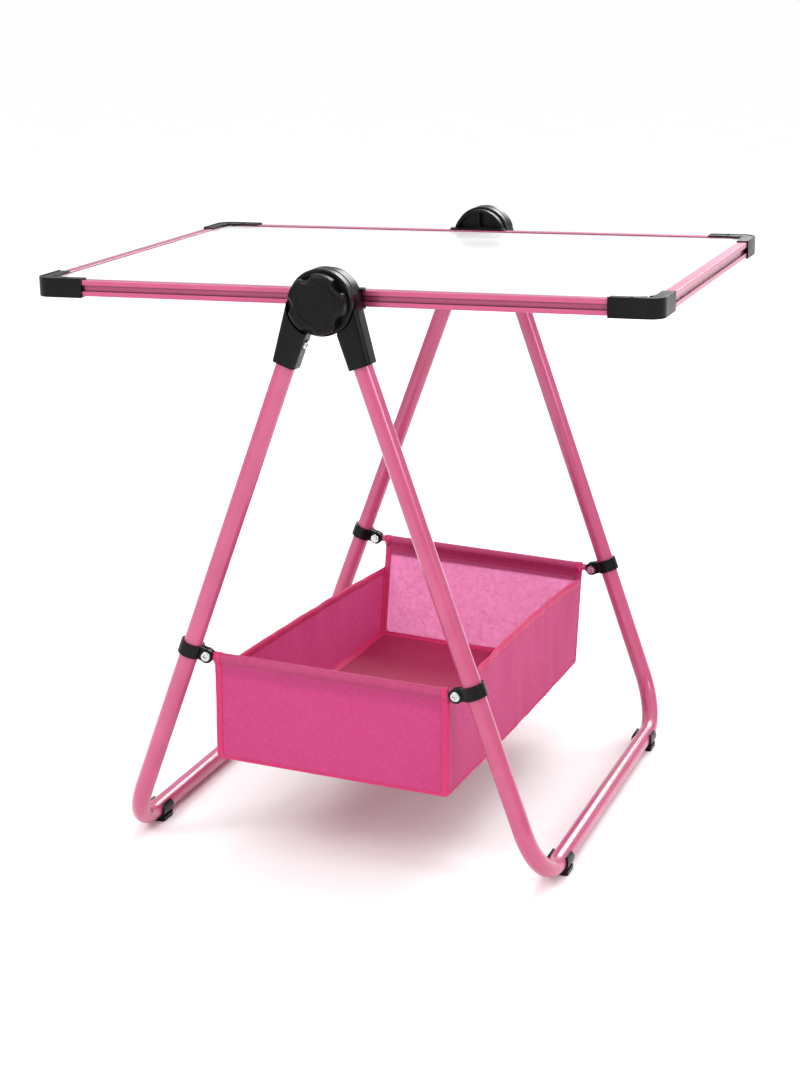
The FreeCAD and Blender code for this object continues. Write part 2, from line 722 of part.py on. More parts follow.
def end_panel(end_name):
    """Near or far panel with the sewn sleeve that its bar runs in."""
    inward = Vector(0, fabric, 0) if end_name == "near" else Vector(0, -fabric, 0)
    sections = []
    for x in (basket_x[-1], basket_x[1]):
        top = on_bar(end_name, x) - inward / 2
        start = top + drop[end_name] * (sleeve_radius / basket_depth * 0.9)
        low = top + drop[end_name]
        sections.append([start, start + inward, low + inward, low])
    panel = skin(sections)
    left = on_bar(end_name, basket_x[-1])
    right = on_bar(end_name, basket_x[1])
    run = right - left
    sleeve = rod(left, run, sleeve_radius, run.Length)
    bore = rod(left - run * 0.1, run, bar_radius + sleeve_fit, run.Length * 1.2)
    return panel.fuse(sleeve).cut(bore)


def panel_face(end_name, x, share):
    """Point on a panel's inner face: share 0 at the bar, 1 at the bottom edge."""
    sign = 1 if end_name == "near" else -1
    return on_bar(end_name, x) + drop[end_name] * share + Vector(0, sign * (fabric / 2 + part_gap), 0)


def side_panel(name, side):
    near_drop, far_drop, rise = side_edges[name]
    x = basket_x[side]
    near_top = panel_face("near", x, near_drop / basket_depth)
    far_top = panel_face("far", x, far_drop / basket_depth)
    far_low = panel_face("far", x, 1.0)
    near_low = panel_face("near", x, 1.0)
    middle = (near_top + far_top) / 2 + Vector(0, 0, rise)
    points = [Vector(x, p.y, p.z) for p in (near_top, middle, far_top, far_low, near_low)]
    outline = Part.Wire([
        Part.Arc(points[0], points[1], points[2]).toShape(),
        Part.LineSegment(points[2], points[3]).toShape(),
        Part.LineSegment(points[3], points[4]).toShape(),
        Part.LineSegment(points[4], points[0]).toShape(),
    ])
    return Part.Face(outline).extrude(Vector(-side * fabric, 0, 0))


def base_panel():
    """Base between the four walls, slightly twisted, so it is built in even strips from near to far."""
    corners = {}
    for end_name, inset in (("near", base_edge_gap), ("far", -base_edge_gap)):
        for side in (-1, 1):
            x = basket_x[side] - side * (fabric + part_gap)
            corners[end_name, side] = panel_face(end_name, x, 1.0) + Vector(0, inset, 0)
    sections = []
    for index in range(base_strips + 1):
        share = index / base_strips
        left, right = [corners["near", side] * (1 - share) + corners["far", side] * share for side in (-1, 1)]
        sections.append([left, right, right + Z * fabric, left + Z * fabric])
    return skin(sections)


save("basket_near_panel", end_panel("near"))
save("basket_far_panel", end_panel("far"))
save("basket_left_panel", side_panel("left", -1))
save("basket_right_panel", side_panel("right", 1))
save("basket_base_panel", base_panel())
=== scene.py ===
# %% [markdown]
# # A children's flip-top drawing stand
# The board, its hub, the leg tubes and the clamps come ready made from the imported CAD part. This
# lesson gives each of them its real finish, and sews the one soft piece, the basket.
# Everything is in metres: X runs along the board, Y along the hub's axle, Z up.

import json
import math

import bpy
import numpy as np
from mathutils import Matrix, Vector, noise


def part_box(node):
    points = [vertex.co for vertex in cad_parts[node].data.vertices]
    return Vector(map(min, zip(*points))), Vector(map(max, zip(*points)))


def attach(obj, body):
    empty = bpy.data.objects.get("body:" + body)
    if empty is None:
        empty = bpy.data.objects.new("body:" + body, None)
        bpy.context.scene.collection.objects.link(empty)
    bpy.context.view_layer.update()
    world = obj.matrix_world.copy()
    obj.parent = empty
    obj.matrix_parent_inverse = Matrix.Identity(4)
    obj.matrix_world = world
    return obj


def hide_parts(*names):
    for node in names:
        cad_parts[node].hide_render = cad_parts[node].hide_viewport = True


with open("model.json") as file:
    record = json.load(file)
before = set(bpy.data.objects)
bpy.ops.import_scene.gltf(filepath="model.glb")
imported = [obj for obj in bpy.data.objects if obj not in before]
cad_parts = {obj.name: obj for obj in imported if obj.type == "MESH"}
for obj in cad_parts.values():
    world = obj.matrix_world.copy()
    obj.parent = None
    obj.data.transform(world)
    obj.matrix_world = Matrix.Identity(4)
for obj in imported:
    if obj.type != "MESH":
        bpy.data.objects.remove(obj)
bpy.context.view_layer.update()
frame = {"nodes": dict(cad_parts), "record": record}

# %% [markdown]
# ## Two small tools for finishes
# A maker matches paint by its swatch, which is an sRGB hex value, while a shader adds up light in
# linear numbers. One function turns the swatch into those numbers. A second one adds a node, with
# its settings and with whatever feeds each input, so each finish reads like a short recipe.

# %% Swatches and nodes
MM = 0.001


def linear(swatch):
    """An sRGB hex swatch as linear red, green, blue and full alpha."""
    parts = [int(swatch[i:i + 2], 16) / 255 for i in (1, 3, 5)]
    return [c / 12.92 if c <= 0.04045 else ((c + 0.055) / 1.055) ** 2.4 for c in parts] + [1.0]


def node(finish, kind, inputs=None, **settings):
    """Adds one node. Each input is a value, or the output socket that feeds it."""
    made = finish.node_tree.nodes.new("ShaderNode" + kind)
    for name, value in settings.items():
        setattr(made, name, value)
    for key, value in (inputs or {}).items():
        if isinstance(value, bpy.types.NodeSocket):
            finish.node_tree.links.new(value, made.inputs[key])
        else:
            made.inputs[key].default_value = value
    return made


def blank_finish(name):
    finish = bpy.data.materials.new(name)
    finish.use_nodes = True
    finish.node_tree.nodes.clear()
    return finish


finishes = {}

# %% [markdown]
# ## Powder-coated steel tube
# The legs are thin steel tube, sprayed with pink powder and baked, so the colour is a smooth, hard,
# glossy plastic skin. Powder melts before it levels quite flat, which leaves "orange peel", shallow
# waves about 2 mm apart that make a reflection's edge tremble. The other way would be a plain
# glossy colour, but then long highlights look like drawn lines.

# %% Powder-coated tube
powder = blank_finish("powder_coated_steel_pink")
place = node(powder, "TexCoord").outputs["Object"]
peel = node(powder, "TexNoise", {"Vector": place, "Scale": 1 / (2.2 * MM), "Detail": 2.0})
cloud = node(powder, "TexNoise", {"Vector": place, "Scale": 1 / (60 * MM), "Detail": 3.0})
dust = node(powder, "TexNoise", {"Vector": place, "Scale": 1 / (0.9 * MM), "Detail": 1.0})
tone = node(powder, "MapRange", {"Value": cloud.outputs[0], "From Min": 0.3, "From Max": 0.7})
skin = node(powder, "Mix", {0: tone.outputs[0], 6: linear("#B5476F"), 7: linear("#C0517A")},
            data_type="RGBA")
gloss = node(powder, "MapRange", {"Value": dust.outputs[0], "To Min": 0.18, "To Max": 0.30})
wave = node(powder, "Bump", {"Height": peel.outputs[0], "Strength": 0.35, "Distance": 0.06 * MM})
shader = node(powder, "BsdfPrincipled", {
    "Base Color": skin.outputs[2], "Roughness": gloss.outputs[0], "Normal": wave.outputs[0],
    "Coat Weight": 0.35, "Coat Roughness": 0.12})
node(powder, "OutputMaterial", {"Surface": shader.outputs[0]})
finishes["pink_tube"] = powder
finishes["bar_steel"] = powder
print("orange peel every 2.2 mm")

# %% [markdown]
# ## Painted aluminium extrusion
# The rails are pushed through a die, so they carry faint straight lines along their length, and
# are then lacquered pink over the bright metal. The metal under the lacquer makes the colour change
# with the angle. The groove's floor is darkened with painted shade: the shader finds such places by
# how little open space they see and mixes their pink towards a dark colour. Two recipes differ only
# in the direction of the lines, because two rails run along X and two along Y.

# %% Lacquered rails, lines along X or Y
def lacquered_rail(name, along_x):
    rail = blank_finish(name)
    place = node(rail, "TexCoord").outputs["Object"]
    fine, long = 1 / (0.7 * MM), 1 / (180 * MM)
    stretch = (long, fine, fine) if along_x else (fine, long, fine)
    lines = node(rail, "Mapping", {"Vector": place, "Scale": stretch})
    drawn = node(rail, "TexNoise", {"Vector": lines.outputs[0], "Scale": 1.0, "Detail": 2.0})
    cloud = node(rail, "TexNoise", {"Vector": place, "Scale": 1 / (45 * MM), "Detail": 2.0})
    tone = node(rail, "Mix", {0: cloud.outputs[0], 6: linear("#C24E78"), 7: linear("#CE5C86")},
                data_type="RGBA")
    # Painted shade: the less open space a point sees within 7 mm, as on the groove's floor, the more
    # its pink is mixed towards dark #5E1F3C.
    hollow = node(rail, "AmbientOcclusion", {"Distance": 7 * MM}, samples=8)
    thin = node(rail, "MapRange", {"Value": hollow.outputs["AO"], "From Min": 0.45, "From Max": 0.95})
    tone_with_painted_shade = node(rail, "Mix", {0: thin.outputs[0], 6: linear("#5E1F3C"), 7: tone.outputs[2]},
                data_type="RGBA")
    gloss = node(rail, "MapRange", {"Value": drawn.outputs[0], "To Min": 0.24, "To Max": 0.42})
    scored = node(rail, "Bump", {"Height": drawn.outputs[0], "Strength": 0.25, "Distance": 0.03 * MM})
    shader = node(rail, "BsdfPrincipled", {
        "Base Color": tone_with_painted_shade.outputs[2], "Metallic": 0.55, "Roughness": gloss.outputs[0],
        "Normal": scored.outputs[0], "Coat Weight": 0.5, "Coat Roughness": 0.1})
    node(rail, "OutputMaterial", {"Surface": shader.outputs[0]})
    return rail


rail_x = lacquered_rail("lacquered_aluminium_pink_x", True)
rail_y = lacquered_rail("lacquered_aluminium_pink_y", False)
finishes["pink_aluminium"] = rail_x
print("die lines 0.7 mm apart")

# %% [markdown]
# ## Moulded black plastic
# Caps, brackets, knobs, clamps and feet are injection-moulded nylon or ABS. The mould is spark
# eroded, which gives a fine even grain. Its pits trap light, so the shine is set well below that of
# a smooth face. Thick places sink a little as they cool, which makes broad soft waves. Handled
# places polish up, so the gloss also drifts.

# %% Moulded plastic
moulded = blank_finish("moulded_abs_black")
place = node(moulded, "TexCoord").outputs["Object"]
grain = node(moulded, "TexVoronoi", {"Vector": place, "Scale": 1 / (0.8 * MM)}, feature="SMOOTH_F1")
sink = node(moulded, "TexNoise", {"Vector": place, "Scale": 1 / (14 * MM), "Detail": 2.0})
handled = node(moulded, "TexNoise", {"Vector": place, "Scale": 1 / (24 * MM), "Detail": 4.0})
dusty = node(moulded, "MapRange", {"Value": handled.outputs[0], "From Min": 0.35, "From Max": 0.75})
tone = node(moulded, "Mix", {0: dusty.outputs[0], 6: linear("#070707"), 7: linear("#0F0F10")},
            data_type="RGBA")
gloss = node(moulded, "MapRange", {"Value": handled.outputs[0], "From Min": 0.3, "From Max": 0.7,
                                   "To Min": 0.26, "To Max": 0.38})
soft = node(moulded, "Bump", {"Height": sink.outputs[0], "Strength": 0.3, "Distance": 0.3 * MM})
rough = node(moulded, "Bump", {"Height": grain.outputs[0], "Strength": 0.25, "Distance": 0.05 * MM,
                               "Normal": soft.outputs[0]})
shader = node(moulded, "BsdfPrincipled", {
    "Base Color": tone.outputs[2], "Roughness": gloss.outputs[0], "Normal": rough.outputs[0],
    "IOR": 1.53, "Specular IOR Level": 0.16})
node(moulded, "OutputMaterial", {"Surface": shader.outputs[0]})
finishes["black_plastic"] = moulded
print("spark grain 0.8 mm")

# %% [markdown]
# ## Dry-wipe drawing sheet
# Both faces are thin sheet with a hard white lacquer that a felt pen wipes off. It is glossy, with
# very faint smears where it has been wiped, long across the board.

# %% Dry-wipe lacquer
drywipe = blank_finish("drywipe_lacquer_white")
place = node(drywipe, "TexCoord").outputs["Object"]
wipe = node(drywipe, "Mapping", {"Vector": place, "Scale": (1 / (260 * MM), 1 / (30 * MM), 1.0),
                                 "Rotation": (0.0, 0.0, 0.35)})
smear = node(drywipe, "TexNoise", {"Vector": wipe.outputs[0], "Scale": 1.0, "Detail": 4.0})
level = node(drywipe, "TexNoise", {"Vector": place, "Scale": 1 / (4 * MM), "Detail": 2.0})
tone = node(drywipe, "Mix", {0: smear.outputs[0], 6: linear("#F7F8F9"), 7: linear("#FCFCFC")},
            data_type="RGBA")
gloss = node(drywipe, "MapRange", {"Value": smear.outputs[0], "From Min": 0.3, "From Max": 0.7,
                                   "To Min": 0.16, "To Max": 0.30})
wave = node(drywipe, "Bump", {"Height": level.outputs[0], "Strength": 0.15, "Distance": 0.03 * MM})
shader = node(drywipe, "BsdfPrincipled", {
    "Base Color": tone.outputs[2], "Roughness": gloss.outputs[0], "Normal": wave.outputs[0],
    "Coat Weight": 0.3, "Coat Roughness": 0.08})
node(drywipe, "OutputMaterial", {"Surface": shader.outputs[0]})
finishes["white_sheet"] = drywipe

# %% [markdown]
# ## Board core, zinc and brass
# The core shows only as a line between the sheets and the rails. Screws, nuts and washers are steel
# with a thin zinc plate, bright but faintly mottled. The knob's threaded insert is turned brass.

# %% Board core
core = blank_finish("fibreboard_core")
place = node(core, "TexCoord").outputs["Object"]
flakes = node(core, "TexNoise", {"Vector": place, "Scale": 1 / (1.5 * MM), "Detail": 5.0})
tone = node(core, "Mix", {0: flakes.outputs[0], 6: linear("#A98E6C"), 7: linear("#C9B190")},
            data_type="RGBA")
pressed = node(core, "Bump", {"Height": flakes.outputs[0], "Strength": 0.5, "Distance": 0.2 * MM})
shader = node(core, "BsdfPrincipled", {"Base Color": tone.outputs[2], "Roughness": 0.85,
                                       "Normal": pressed.outputs[0]})
node(core, "OutputMaterial", {"Surface": shader.outputs[0]})
finishes["panel"] = core

# %% Zinc plate and turned brass
def bright_metal(name, dark, light, smooth, dull):
    metal = blank_finish(name)
    place = node(metal, "TexCoord").outputs["Object"]
    spangle = node(metal, "TexNoise", {"Vector": place, "Scale": 1 / (1.6 * MM), "Detail": 3.0})
    tone = node(metal, "Mix", {0: spangle.outputs[0], 6: linear(dark), 7: linear(light)},
                data_type="RGBA")
    gloss = node(metal, "MapRange", {"Value": spangle.outputs[0], "From Min": 0.3, "From Max": 0.7,
                                     "To Min": smooth, "To Max": dull})
    dents = node(metal, "Bump", {"Height": spangle.outputs[0], "Strength": 0.2, "Distance": 0.05 * MM})
    shader = node(metal, "BsdfPrincipled", {
        "Base Color": tone.outputs[2], "Metallic": 1.0, "Roughness": gloss.outputs[0],
        "Normal": dents.outputs[0]})
    node(metal, "OutputMaterial", {"Surface": shader.outputs[0]})
    return metal


finishes["zinc_steel"] = bright_metal("zinc_plated_steel", "#B9BBBE", "#D9DADB", 0.18, 0.34)
finishes["brass"] = bright_metal("turned_brass", "#B58E4A", "#CFA95F", 0.22, 0.36)

# %% [markdown]
# ## Basket cloth
# The basket is spun-bonded polypropylene: hot fibres blown at random on a belt and bonded, so there
# are no threads. Close up it is a mat of fine crossing fibres, and from further off it is cloudy,
# because some spots got more fibre than others. Thin spots let light through, so a wall with light
# behind it glows pale and mottled while a wall in front of a dark space looks deep. A see-through
# share that follows the clouds gives both. The far wall wears a copy of the cloth with paler colours,
# more sheen and a larger see-through share, which is painted light for its glow. The base wears a
# copy with deep, dark colours that lets almost no light through, which is painted shade. The sleeves
# and the seam binding are doubled, so they are deeper in colour and let hardly any light through.

# %% Spun-bonded cloth: plain, doubled, and copies with painted light and painted shade
THICK_SPOT, THIN_SPOT = 0.6, 1.3      # see-through share at the clouds' two ends, of the mean one


def spunbond(name, deep, pale, glow, thin, shine):
    cloth = blank_finish(name)
    place = node(cloth, "TexCoord").outputs["Object"]
    clump = node(cloth, "TexNoise", {"Vector": place, "Scale": 1 / (5 * MM), "Detail": 5.0,
                                     "Roughness": 0.65, "Distortion": 0.6})
    broad = node(cloth, "TexNoise", {"Vector": place, "Scale": 1 / (45 * MM), "Detail": 2.0})
    turned = node(cloth, "Mapping", {"Vector": place, "Rotation": (0.5, 0.4, 0.7),
                                     "Scale": (1 / (5 * MM), 1 / (0.9 * MM), 1 / (0.9 * MM))})
    crossed = node(cloth, "Mapping", {"Vector": place, "Rotation": (-0.6, 0.9, -0.5),
                                      "Scale": (1 / (0.9 * MM), 1 / (5 * MM), 1 / (0.9 * MM))})
    fibre_a = node(cloth, "TexNoise", {"Vector": turned.outputs[0], "Scale": 1.0, "Detail": 1.0})
    fibre_b = node(cloth, "TexNoise", {"Vector": crossed.outputs[0], "Scale": 1.0, "Detail": 1.0})
    fibres = node(cloth, "Math", {0: fibre_a.outputs[0], 1: fibre_b.outputs[0]},
                  operation="MAXIMUM")
    mat = node(cloth, "Mix", {0: 0.45, 2: clump.outputs[0], 3: fibres.outputs[0]})
    cover = node(cloth, "MapRange", {"Value": mat.outputs[0], "From Min": 0.38, "From Max": 0.64})
    drift = node(cloth, "Mix", {0: 0.25, 2: cover.outputs[0], 3: broad.outputs[0]})
    tone = node(cloth, "Mix", {0: drift.outputs[0], 6: linear(deep), 7: linear(pale)},
                data_type="RGBA")
    raised = node(cloth, "Bump", {"Height": mat.outputs[0], "Strength": 0.5, "Distance": 0.25 * MM})
    front = node(cloth, "BsdfPrincipled", {
        "Base Color": tone.outputs[2], "Roughness": 0.62, "Normal": raised.outputs[0],
        "Sheen Weight": shine, "Sheen Roughness": 0.4, "Sheen Tint": linear("#FFD9E8")})
    through = node(cloth, "BsdfTranslucent", {"Color": linear(glow), "Normal": raised.outputs[0]})
    share = node(cloth, "MapRange", {"Value": drift.outputs[0], "To Min": thin * THICK_SPOT,
                                     "To Max": thin * THIN_SPOT})
    both = node(cloth, "MixShader", {0: share.outputs[0], 1: front.outputs[0],
                                     2: through.outputs[0]})
    node(cloth, "OutputMaterial", {"Surface": both.outputs[0]})
    return cloth


cloth = spunbond("spunbond_polypropylene_pink", "#BE3172", "#CB4788", "#F79ACA", 0.34, 0.06)
# Painted light: the far wall's copy of the cloth is paler, with more sheen and a larger see-through
# share, to stand in for the glow of the light behind it.
far_wall_painted_light = spunbond("spunbond_far_wall_painted_light", "#C8528C", "#D978AE", "#F3C0DC", 0.68, 0.2)
binding = spunbond("spunbond_doubled_binding", "#C4185C", "#D22C6E", "#E8487F", 0.08, 0.04)
# Painted shade: the base's copy of the cloth is deep and dark and lets almost no light through, to
# stand in for the shade inside the basket.
base_painted_shade = spunbond("spunbond_base_painted_shade", "#8E0F40", "#A8184F", "#A62756", 0.02, 0.0)
sleeved = spunbond("spunbond_round_the_bar", "#A22458", "#B63B72", "#C8487F", 0.05, 0.12)
finishes["basket_fabric"] = cloth
print("fibres 0.9 mm wide in clumps of 5 mm, drawn about ten times coarser than the real ones")

# %% Sewing thread
thread = blank_finish("polyester_thread_pink")
place = node(thread, "TexCoord").outputs["Object"]
ply = node(thread, "TexNoise", {"Vector": place, "Scale": 1 / (0.5 * MM), "Detail": 1.0})
tone = node(thread, "Mix", {0: ply.outputs[0], 6: linear("#C22459"), 7: linear("#E65C8F")},
            data_type="RGBA")
shader = node(thread, "BsdfPrincipled", {"Base Color": tone.outputs[2], "Roughness": 0.45,
                                         "Sheen Weight": 0.3})
node(thread, "OutputMaterial", {"Surface": shader.outputs[0]})

# %% [markdown]
# ## Give every CAD piece its finish
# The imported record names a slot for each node. The two rails along Y take the recipe whose lines
# run along Y.

# %% Finishes onto the frame
for part in frame["record"]["subparts"]:
    piece = frame["nodes"][part["node"]]
    chosen = finishes[part["material_slot"]]
    if part["node"] in ("rail_left", "rail_right"):
        chosen = rail_y
    for slot in piece.material_slots:
        slot.material = chosen
print(len(frame["nodes"]), "CAD nodes finished")

# %% [markdown]
# ## Where the basket hangs
# The basket has two bars through its end sleeves, four bottom corners and two side walls whose top
# edges dip between the ends. All of them are read from the CAD pieces' own points, so the cloth
# follows the frame if a size changes.

# %% Measure the CAD basket
def points_of(name):
    return np.array([v.co for v in frame["nodes"][name].data.vertices], float)


def bar_line(end):
    """The two ends of a bar's axis, as points just inside its flat eyes."""
    p = points_of("basket_bar_" + end)
    ends = []
    for x in (p[:, 0].min(), p[:, 0].max()):
        near = p[abs(p[:, 0] - x) < 2 * MM]
        ends.append(np.array([x, near[:, 1].mean(), near[:, 2].mean()]))
    return ends


def low_corner(end, x):
    """The bottom corner of an end panel near x."""
    p = points_of(f"basket_{end}_panel")
    p = p[abs(p[:, 0] - x) < 3 * MM]
    p = p[p[:, 2] < p[:, 2].min() + 1 * MM]
    return p.mean(0)


def on_bar(end, x):
    a, b = bars[end]
    return a + (b - a) * ((x - a[0]) / (b[0] - a[0]))


bars = {end: bar_line(end) for end in ("near", "far")}
side_x = {"left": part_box("basket_near_panel")[0].x, "right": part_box("basket_near_panel")[1].x}
corner = {(end, side): low_corner(end, x) for end in ("near", "far") for side, x in side_x.items()}
print("basket width mm", round((side_x["right"] - side_x["left"]) / MM, 1))


def top_line(side):
    """The top edge of a side wall as rows of y and z, from the near end to the far end."""
    p = points_of(f"basket_{side}_panel")
    low = np.interp(p[:, 1], [corner["near", side][1], corner["far", side][1]],
                    [corner["near", side][2], corner["far", side][2]])
    p = p[p[:, 2] > low + 40 * MM]
    p = p[np.argsort(p[:, 1])]
    return p[:, 1], p[:, 2]


tops = {side: top_line(side) for side in ("left", "right")}

# %% [markdown]
# ## Cut and sew the basket
# One shell makes the whole basket: a strip that starts as the near sleeve, drops as the near wall,
# crosses as the base and climbs the far wall into its sleeve, with the two side walls sewn on. Each
# piece is a net of points, made flat first. The columns and rows next to a seam are as wide as its
# binding, so that the binding can later be cut from the same net.

# %% Nets of points
WALL_BAND = 7.5 * MM      # doubled cloth beside each upright seam
EDGE_BAND = 3 * MM        # folded edge along the bottom seams
HEM_BAND = 8 * MM         # folded hem along a side wall's top
MESH = 7 * MM             # size of one mesh square
LOOP = 5.1 * MM           # sleeve cloth round a bar 8 mm thick
LOOP_FROM, LOOP_TO = 205, -25     # degrees of the loop, from its inner side to its outer side
LOOP_POINTS = 15
STITCH_DROP = 8 * MM      # the sleeve's seam below the bar's axis
HEM_IN = 1.2 * MM         # the loose inner hem beside the wall
HEM_DROPS = (20 * MM, 14 * MM, STITCH_DROP)
SEAM_ROW = len(HEM_DROPS) + LOOP_POINTS
DOWN_ROWS = 14            # squares from a side wall's hem to its bottom seam
WALL_RUN = 0.54           # length of a side wall, near enough to space its columns
FIRST_COLUMN = 5 * MM     # column next to an upright seam


def steps(length, first, last, count=None):
    """Shares from 0 to 1 with set steps at each end and even ones between."""
    count = count or max(2, round((length - sum(first) - sum(last)) / MESH))
    start, stop = np.cumsum([0.0, *first]), length - np.cumsum([0.0, *last])[::-1]
    return np.concatenate([start[:-1], np.linspace(start[-1], stop[0], count + 1), stop[1:]]) / length


def end_to_end(a, b, shares):
    return a * (1 - shares[:, None]) + b * shares[:, None]


width = side_x["right"] - side_x["left"]
across = steps(width, [WALL_BAND], [WALL_BAND])
along = steps(WALL_RUN, [EDGE_BAND, FIRST_COLUMN], [FIRST_COLUMN, EDGE_BAND])


def sleeve_section(outward):
    """The strip's path round a bar, as y and z: inner hem, over the bar, down to the outer seam."""
    path = [(-HEM_IN, -drop) for drop in HEM_DROPS]
    for turn in np.radians(np.linspace(LOOP_FROM, LOOP_TO, LOOP_POINTS)):
        path.append((LOOP * math.cos(turn), LOOP * math.sin(turn)))
    path.append((0.0, -STITCH_DROP))
    return [(outward * a, b) for a, b in path]


def end_net(end):
    """Rows from the inner hem over the bar and down the wall, and the side walls' first row."""
    outward, place = (-1, 0) if end == "near" else (1, -1)
    axis = np.array([on_bar(end, side_x["left"] + width * s) for s in across])
    net = [axis + np.array([0, a, b]) for a, b in sleeve_section(outward)]
    top = net[-1]
    low = end_to_end(corner[end, "left"], corner[end, "right"], across)
    low[:, 0] = top[:, 0]
    starts = np.array([(top[i, 2] - tops[side][1][place]) / (top[i, 2] - low[i, 2])
                       for i, side in ((0, "left"), (-1, "right"))])
    height = np.linalg.norm(top[0] - low[0]) * (1 - starts[0])
    down = steps(height, [HEM_BAND], [EDGE_BAND], DOWN_ROWS)
    shares = [starts * v for v in (0.25, 0.5, 0.75)] + [starts + (1 - starts) * v for v in down]
    for left, right in shares:
        share = (left + (right - left) * across)[:, None]
        net.append(top * (1 - share) + low * share)
    return np.array(net), len(net) - len(down)


near_net, near_start = end_net("near")
far_net, far_start = end_net("far")


def side_net(side):
    """Rows from the hem to the bottom seam, columns from the near wall to the far wall."""
    i = 0 if side == "left" else -1
    near, far = near_net[near_start:, i], far_net[far_start:, i]
    y, z = tops[side]
    columns = []
    for u in along:
        column = near * (1 - u) + far * u
        rise = np.interp(column[0, 1], y, z) - column[0, 2] if 0 < u < 1 else 0.0
        column[:, 2] += rise * np.linspace(1, 0, len(column))
        columns.append(column)
    return np.array(columns).transpose(1, 0, 2)


side_nets = {side: side_net(side) for side in ("left", "right")}
base_net = np.array([end_to_end(a, b, across)
                     for a, b in zip(side_nets["left"][-1], side_nets["right"][-1])])
print("nets: near", near_net.shape, "far", far_net.shape, "side", side_nets["left"].shape,
      "base", base_net.shape)

# %% [markdown]
# ## Let the cloth settle
# The sleeves are held by the bars and the seams are stiff, so a real basket of this cloth hangs
# nearly flat: its base sags a few millimetres, its long walls lean in between their ends and carry
# soft upright folds, and its end walls belly out a little. A cloth simulation gives the same with
# less control over how crisp the seams stay, so the nets are moved by given amounts that fade
# out at the bars.

# %% Sag, lean and folds
BASE_SAG = 7 * MM
SEAM_SAG = 2.5 * MM           # how far the bottom seams follow the base down
BASE_RIPPLE = 1.6 * MM
WALL_LEAN = 3 * MM
WALL_FOLD = 2.6 * MM
WALL_CREASE = 0.5 * MM
END_BELLY = 3 * MM
END_FOLD = 1.2 * MM
LOW_SHARE = 0.35              # share of a wall's folds that is left at its bottom seam


def waves(a, b, width, height, layer):
    """Soft waves between -1 and 1 over a surface, another set of them for each layer."""
    return noise.noise((a / width, b / height, layer))


def settled(net):
    out = net.copy()
    for point in out.reshape(-1, 3):
        x, y, z = point
        s = min(1.0, max(0.0, (x - side_x["left"]) / width))
        near, far = on_bar("near", x), on_bar("far", x)
        low_near = corner["near", "left"] * (1 - s) + corner["near", "right"] * s
        low_far = corner["far", "left"] * (1 - s) + corner["far", "right"] * s
        u = min(1.0, max(0.0, (y - near[1]) / (far[1] - near[1])))
        floor = low_near[2] * (1 - u) + low_far[2] * u
        top = (near[2] * (1 - u) + far[2] * u) - STITCH_DROP
        h = min(1.0, max(0.0, (z - floor) / (top - floor)))
        inward = 1 - 2 * s
        middle = math.sin(math.pi * u)
        folds = WALL_FOLD * waves(y, z, 34 * MM, 110 * MM, 3.0 + round(s))
        folds += WALL_CREASE * waves(y, z, 13 * MM, 50 * MM, 8.0 + round(s))
        ends_free = min(1.0, 6 * u * (1 - u))
        lean = WALL_LEAN * middle * h + folds * ends_free * (LOW_SHARE + (1 - LOW_SHARE) * h)
        point[0] += inward * lean
        halfway = math.sin(math.pi * h)
        belly = END_BELLY * math.sin(math.pi * s) * halfway
        pucker = END_FOLD * waves(x, z, 45 * MM, 50 * MM, 21.0 + round(u)) * halfway
        outward = 2 * u - 1
        on_end_wall = abs(outward) ** 12
        point[1] += outward * on_end_wall * (belly + pucker)
        flat = (1 - h) ** 2
        dip = math.sin(math.pi * s) * middle
        point[2] -= BASE_SAG * dip * flat + SEAM_SAG * middle * flat
        point[2] += BASE_RIPPLE * waves(x, y, 60 * MM, 50 * MM, 5.0) * flat * dip
    return out


near_net, far_net, base_net = settled(near_net), settled(far_net), settled(base_net)
side_nets = {side: settled(net) for side, net in side_nets.items()}
print("lowest point of the base mm", round(base_net[..., 2].min() / MM, 1))

# %% Cloth mesh from nets
CLOTH_THICK = 0.9 * MM
BAND_THICK = 2.0 * MM
WELD = 0.05 * MM              # points closer than this are sewn into one


def cloth_piece(name, nets, thickness, cloths, level):
    """Sews nets into one mesh, smooths it and gives it a thickness. Each net names its cloth."""
    verts, faces, worn = [], [], []
    for net, cut_from in zip(nets, cloths):
        rows, columns = net.shape[:2]
        start = len(verts)
        worn += [cut_from] * ((rows - 1) * (columns - 1))
        verts += [tuple(v) for v in net.reshape(-1, 3)]
        for r in range(rows - 1):
            for c in range(columns - 1):
                a = start + r * columns + c
                faces.append((a, a + 1, a + columns + 1, a + columns))
    mesh = bpy.data.meshes.new(name)
    mesh.from_pydata(verts, [], faces)
    piece = bpy.data.objects.new(name, mesh)
    bpy.context.scene.collection.objects.link(piece)
    used = list(dict.fromkeys(cloths))
    for finish in used:
        mesh.materials.append(finish)
    mesh.polygons.foreach_set("material_index", [used.index(cut_from) for cut_from in worn])
    bpy.ops.object.select_all(action="DESELECT")
    piece.select_set(True)
    bpy.context.view_layer.objects.active = piece
    bpy.ops.object.mode_set(mode="EDIT")
    bpy.ops.mesh.select_all(action="SELECT")
    bpy.ops.mesh.remove_doubles(threshold=WELD)
    bpy.ops.mesh.normals_make_consistent(inside=False)
    bpy.ops.object.mode_set(mode="OBJECT")
    if level:
        smooth = piece.modifiers.new("smooth", "SUBSURF")
        smooth.levels = smooth.render_levels = level
        bpy.ops.object.modifier_apply(modifier="smooth")
    wall = piece.modifiers.new("wall", "SOLIDIFY")
    wall.thickness, wall.offset = thickness, 0.0
    bpy.ops.object.modifier_apply(modifier="wall")
    bpy.ops.object.shade_smooth()
    print(name, len(mesh.polygons), "faces")
    return piece


